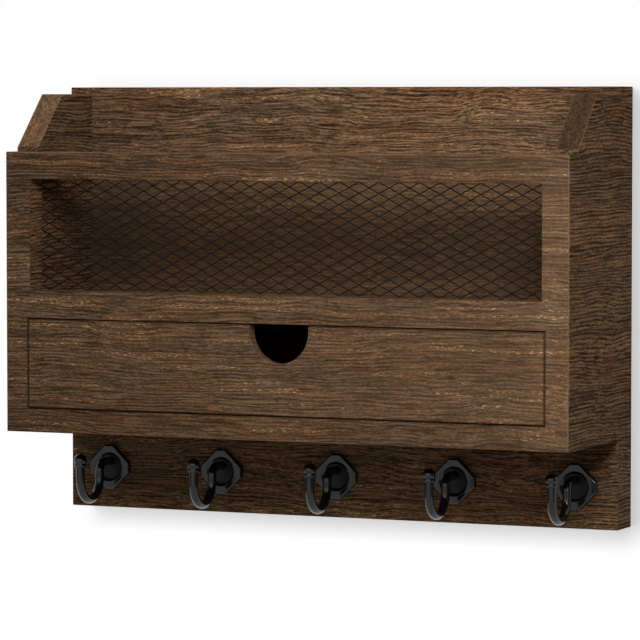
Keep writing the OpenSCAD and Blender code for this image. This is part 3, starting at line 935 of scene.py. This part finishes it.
def cross_head_screw(name, head_r, shank_r, depth, pitch):
    """A countersunk wood screw from y = 0 into -Y, with a cross recess in its head."""
    cone = head_r - shank_r
    start = cone + 0.25 * depth
    turns = max(3, int((depth - start) / pitch))
    profile = [(0, 0), (head_r * 0.97, 0), (head_r, -0.0001), (shank_r, -cone - 0.0001)]
    for k in range(turns):
        y = -start - (depth - start) * k / turns
        taper = min(1.0, 0.3 + 0.2 * (turns - k))
        profile += [(shank_r * 0.7 * taper, y), (shank_r * taper, y - pitch * 0.4)]
    profile.append((0, -depth))
    screw = turned(name, profile, SCREW_SIDES)
    recess = bmesh.new()
    length_r, depth_r, width_r = (part * head_r for part in RECESS_SIZE)
    for turn in (0, pi / 2):
        for vertex in bmesh.ops.create_cube(recess, size=1.0)["verts"]:
            narrow = 0.5 if vertex.co.y < 0 else 1.0
            x, z = vertex.co.x * length_r * narrow, vertex.co.z * width_r
            vertex.co = (
                x * cos(turn) - z * sin(turn), vertex.co.y * depth_r,
                x * sin(turn) + z * cos(turn),
            )
    return cut_by(screw, meshed(f"{name}_recess", recess))


def loose_parts(node):
    """The separate solids of a node, each its low corner, its high corner and its faces."""
    shape = merged_copy(node)
    waiting, parts = set(shape.verts), []
    while waiting:
        part, front = [], [waiting.pop()]
        while front:
            vertex = front.pop()
            part.append(vertex)
            near = {edge.other_vert(vertex) for edge in vertex.link_edges} & waiting
            waiting -= near
            front += near
        low, high = (
            Vector(end(vertex.co[axis] for vertex in part) for axis in range(3))
            for end in (min, max)
        )
        faces = {face for vertex in part for face in vertex.link_faces}
        parts.append((low, high, [[v.co.copy() for v in face.verts] for face in faces]))
    shape.free()
    return sorted(parts, key=lambda part: tuple(part[0]))


def rounded_part(name, faces, centre, width):
    """One loose part round its own centre, with its arrises rounded."""
    shape = bmesh.new()
    for face in faces:
        shape.faces.new([shape.verts.new(place - centre) for place in face])
    bmesh.ops.remove_doubles(shape, verts=shape.verts, dist=MERGED)
    round_arrises(shape, width, 0.0004)
    return meshed(name, shape)


def repeated_screws(node, material, seed):
    """Threaded screws in the places of a node's plain ones."""
    parts = loose_parts(node)
    low, high, _ = parts[0]
    head_r = (high.x - low.x) / 2
    screw = cross_head_screw(f"{node}_one", head_r, head_r / 2, high.y - low.y, SCREW_PITCH)
    places = [((a.x + b.x) / 2, b.y, (a.z + b.z) / 2) for a, b, _ in parts]
    made = copies_at(f"{node}_threaded", screw, places, material, seed)
    put(made, ORGANIZER, "zinc_steel", node)


def repeated_parts(node, material, body, width):
    """A node's like parts, rounded once for each shape and repeated."""
    groups = {}
    for low, high, faces in loose_parts(node):
        size = tuple(round(side, 5) for side in high - low)
        groups.setdefault(size, []).append((low, high, faces))
    for number, size in enumerate(sorted(groups)):
        low, high, faces = groups[size][0]
        one = rounded_part(f"{node}_one_{number}", faces, (low + high) / 2, width)
        places = [(a + b) / 2 for a, b, _ in groups[size]]
        put(copies_at(f"{node}_{number}", one, places, material), body, "zinc_steel", node)


class ORGANIZER_OT_fasteners(bpy.types.Operator):
    """Make the screws, nails, staples, hangers and dowels"""

    bl_idname = "organizer.fasteners"
    bl_label = "Fasteners"
    hanger_arris = 0.0003

    def execute(self, context):
        metal = context.scene.organizer_metal
        zinc = zinc_plate("zinc_plating", metal.zinc, metal.zinc_roughness)
        repeated_screws("board_screws", zinc, 7)
        repeated_screws("hanger_screws", zinc, 11)
        repeated_parts("drawer_nails", zinc, DRAWER, 0.00015)
        repeated_parts("mesh_staples", zinc, ORGANIZER, 0.00012)
        for node in ("left_hanger", "right_hanger"):
            shape = merged_copy(node)
            round_arrises(shape, self.hanger_arris, 0.0015)
            hanger = meshed(f"{node}_plated", shape)
            hanger.data.materials.append(zinc)
            put(hanger, ORGANIZER, "zinc_steel", node)
        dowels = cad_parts["face_dowels"].data.materials
        dowels.clear()
        dowels.append(plain_wood("bare_beech", context.scene.organizer_wood.dowel, "Y"))
        return {"FINISHED"}


# Stage

PLANE_REACH = 6.0
WALL_PLACE = Vector((0, 0.0005, 0))
FLOOR_PLACE = Vector((0, 0, -1.3))


def cleared(owner):
    """The node tree of a material or world, emptied."""
    owner.use_nodes = True
    owner.node_tree.nodes.clear()
    return owner.node_tree


def looked_at(tree):
    """1 for the rays of the camera and of reflections, 0 for those of the light."""
    path = add(tree, "ShaderNodeLightPath").outputs
    seen = larger(tree, path["Is Camera Ray"], path["Is Glossy Ray"])
    return larger(tree, seen, path["Is Transmission Ray"])


def one_sided_plane(name, centre, up, tilt, near, shade):
    """A white plane along X that shows only from its front.

    Where something is nearer to it than near, towards tilt, its white goes down to shade: a painted
    shadow, worked out from ambient occlusion and not cast by the lamps.
    """
    mesh = bpy.data.meshes.new(name)
    corners = [
        centre + (Vector((right, 0, 0)) + up * high) * PLANE_REACH
        for right, high in ((-1, -1), (1, -1), (1, 1), (-1, 1))
    ]
    mesh.from_pydata([tuple(corner) for corner in corners], [], [(0, 1, 2, 3)])
    plane = linked(name, mesh)
    material = bpy.data.materials.new(name)
    tree = cleared(material)
    back = add(tree, "ShaderNodeNewGeometry").outputs["Backfacing"]
    seen = times(tree, looked_at(tree), minus(tree, 1.0, back))
    sky = {"Distance": near, "Normal": vector_of(tree, *tilt)}
    open_sky = add(tree, "ShaderNodeAmbientOcclusion", sky, samples=6).outputs["AO"]
    level = stretch(tree, open_sky, 0.35, 0.95, shade, 1.0)
    glow = result(tree, "ShaderNodeEmission", {"Color": WHITE, "Strength": level})
    clear = result(tree, "ShaderNodeBsdfTransparent")
    whole = result(tree, "ShaderNodeMixShader", {0: seen, 1: clear, 2: glow})
    add(tree, "ShaderNodeOutputMaterial", {"Surface": whole}).is_active_output = True
    mesh.materials.append(material)


def soft_lamp(name, place, target, width, power):
    """A square lamp that looks at the target."""
    lamp = bpy.data.lights.new(name, "AREA")
    lamp.shape, lamp.size, lamp.energy = "SQUARE", width, power
    made = linked(name, lamp)
    made.location = place
    made.rotation_euler = (Vector(target) - Vector(place)).to_track_quat("-Z", "Y").to_euler()


def white_world(strength):
    """White for the camera, an even light of that strength, and a lit front for reflections."""
    world = bpy.data.worlds.new("white_room")
    bpy.context.scene.world = world
    tree = cleared(world)
    towards = parts_of(tree, add(tree, "ShaderNodeTexCoord").outputs["Generated"])
    height = towards["Z"]
    front = stretch(tree, times(tree, towards["Y"], -1.0), 0.5, 0.8)
    low = stretch(tree, height, -0.6, -0.2)
    window = times(tree, stretch(tree, height, 0.02, 0.1), stretch(tree, height, 0.5, 0.42))
    lit = stretch(tree, times(tree, plus(tree, low, window), front), 0.0, 2.0, 0.12, 2.0)
    rays = add(tree, "ShaderNodeLightPath").outputs
    mirrored = larger(tree, rays["Is Glossy Ray"], rays["Is Transmission Ray"])
    level = stretch(tree, rays["Is Camera Ray"], 0.0, 1.0, strength, 1.0)
    level = result(tree, "ShaderNodeMix", {0: mirrored, 2: level, 3: lit}, data_type="FLOAT")
    sky = result(tree, "ShaderNodeBackground", {"Color": WHITE, "Strength": level})
    add(tree, "ShaderNodeOutputWorld", {"Surface": sky})


class ORGANIZER_OT_stage(bpy.types.Operator):
    """Set the wall, the floor, the lamps, the even light and the camera"""

    bl_idname = "organizer.stage"
    bl_label = "Stage"

    def execute(self, context):
        scene = context.scene
        size = scene.organizer_stage
        y, z = Vector((0, 1, 0)), Vector((0, 0, 1))
        one_sided_plane("wall", WALL_PLACE, z, (-0.75, -0.29, 0.58), 0.018, 0.45)
        one_sided_plane("floor", FLOOR_PLACE, y, (0.0, 0.0, 1.0), 0.3, 0.93)
        soft_lamp("key", (0.47, -0.85, 0.50), (0.1, 0, 0), 0.4, size.key_power)
        soft_lamp("fill", (-0.9, -1.2, 1.3), (0, 0, 0), 1.2, size.fill_power)
        white_world(size.sky_strength)
        camera = linked("camera", bpy.data.cameras.new("camera"))
        camera.data.lens = size.focal_length
        camera.location = size.camera_place
        camera.rotation_euler = (pi / 2 - size.camera_pitch, 0.0, size.camera_yaw)
        scene.camera = camera
        scene.view_settings.view_transform = "Standard"
        return {"FINISHED"}


OPERATORS = (
    ORGANIZER_OT_stage, ORGANIZER_OT_boards, ORGANIZER_OT_drawer, ORGANIZER_OT_mesh,
    ORGANIZER_OT_hooks, ORGANIZER_OT_plates, ORGANIZER_OT_fasteners,
)


class ORGANIZER_PT_panel(bpy.types.Panel):
    """Lists the organizer's sizes, colours and steps"""

    bl_idname = "ORGANIZER_PT_panel"
    bl_label = "Mail organizer"
    bl_space_type = "VIEW_3D"
    bl_region_type = "UI"
    bl_category = "Organizer"

    def draw(self, context):
        for name, group in SETTINGS.items():
            box = self.layout.box()
            box.label(text=group.__doc__)
            for field in group.__annotations__:
                box.prop(getattr(context.scene, name), field)
        for operator in OPERATORS:
            self.layout.operator(operator.bl_idname)


def register():
    for group in (*SETTINGS.values(), *OPERATORS, ORGANIZER_PT_panel):
        bpy.utils.register_class(group)
    for name, group in SETTINGS.items():
        setattr(bpy.types.Scene, name, PointerProperty(type=group))


def unregister():
    for name in SETTINGS:
        delattr(bpy.types.Scene, name)
    for group in (ORGANIZER_PT_panel, *OPERATORS[::-1], *list(SETTINGS.values())[::-1]):
        bpy.utils.unregister_class(group)


def main():
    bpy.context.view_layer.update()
    register()
    for operator in OPERATORS:
        step = operator.bl_idname.split(".")[1]
        getattr(bpy.ops.organizer, step)()


if __name__ == "__main__":
    main()
